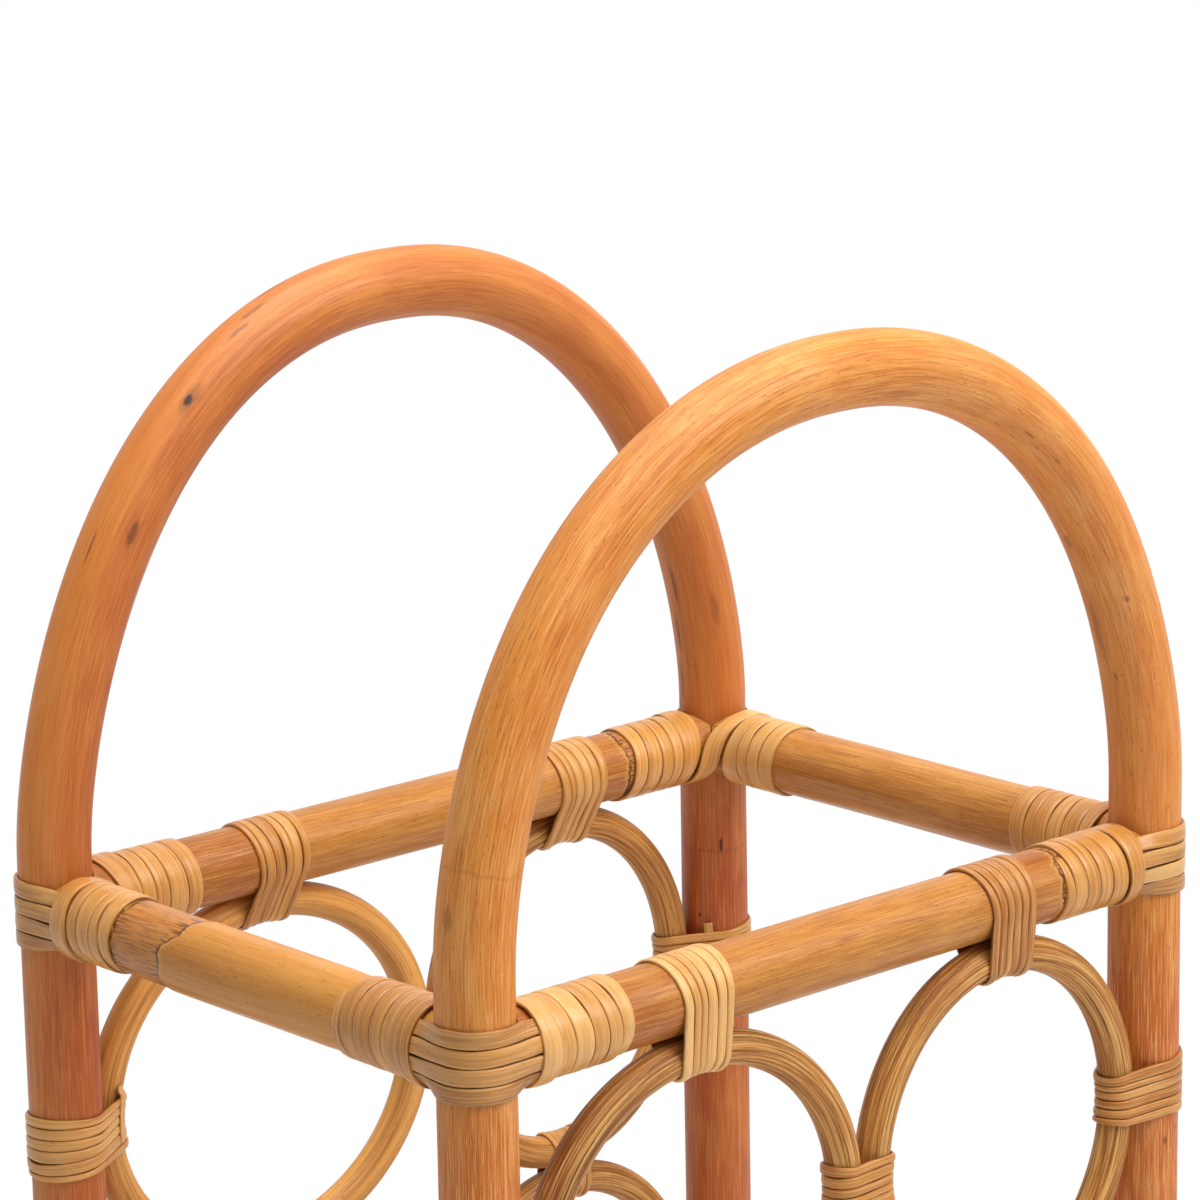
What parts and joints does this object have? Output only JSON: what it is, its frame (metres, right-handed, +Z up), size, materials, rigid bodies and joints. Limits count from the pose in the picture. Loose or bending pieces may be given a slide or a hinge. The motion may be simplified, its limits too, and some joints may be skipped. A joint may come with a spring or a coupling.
{
  "type": "wine bottle basket",
  "caption": "Bent rattan wine bottle basket: arched ends tied by rails, with cane rings that hold bottles lying front to back, bound with peel strips.",
  "frame": {"origin": "on the floor, under the middle of the basket", "axes": "+X along the front rails to the viewer's right, -Y towards the front arch, +Z up"},
  "size_m": [0.2744, 0.2028, 0.4737],
  "materials": {
    "front_pole": "lacquered rattan, satin",
    "back_pole": "lacquered rattan, satin",
    "rail": "lacquered rattan, satin",
    "ring_cane": "lacquered thin cane, satin",
    "peel": "flat rattan peel, satin",
    "strap_peel": "flat rattan peel, satin"
  },
  "bodies": {
    "root": {"arch_front": "front_pole", "arch_back": "back_pole", "rail_top_front": "rail", "rail_top_right": "rail", "rail_top_back": "rail", "rail_top_left": "rail", "rail_bottom_front": "rail", "rail_bottom_right": "rail", "rail_bottom_back": "rail", "rail_bottom_left": "rail", "ring_front_1_1": "ring_cane", "ring_front_1_2": "ring_cane", "ring_front_2_1": "ring_cane", "ring_front_2_2": "ring_cane", "ring_back_1_1": "ring_cane", "ring_back_1_2": "ring_cane", "ring_back_2_1": "ring_cane", "ring_back_2_2": "ring_cane", "strap_top_front_left": "strap_peel", "strap_top_front_right": "strap_peel", "strap_top_back_right": "strap_peel", "strap_top_back_left": "strap_peel", "strap_bottom_front_left": "strap_peel", "strap_bottom_front_right": "strap_peel", "strap_bottom_back_right": "strap_peel", "strap_bottom_back_left": "strap_peel", "whip_top_front_left": "peel", "whip_top_front_right": "peel", "whip_top_back_right": "peel", "whip_top_back_left": "peel", "whip_bottom_front_left": "peel", "whip_bottom_front_right": "peel", "whip_bottom_back_right": "peel", "whip_bottom_back_left": "peel", "binding_rail_top_front_1": "peel", "binding_rail_top_front_2": "peel", "binding_rail_bottom_front_1": "peel", "binding_rail_bottom_front_2": "peel", "binding_post_front_1_left": "peel", "binding_post_front_1_right": "peel", "binding_side_front_1_1": "peel", "binding_post_front_2_left": "peel", "binding_post_front_2_right": "peel", "binding_side_front_2_1": "peel", "binding_stack_front_1_1": "peel", "binding_stack_front_1_2": "peel", "binding_rail_top_back_1": "peel", "binding_rail_top_back_2": "peel", "binding_rail_bottom_back_1": "peel", "binding_rail_bottom_back_2": "peel", "binding_post_back_1_left": "peel", "binding_post_back_1_right": "peel", "binding_side_back_1_1": "peel", "binding_post_back_2_left": "peel", "binding_post_back_2_right": "peel", "binding_side_back_2_1": "peel", "binding_stack_back_1_1": "peel", "binding_stack_back_1_2": "peel"}
  },
  "joints": []
}
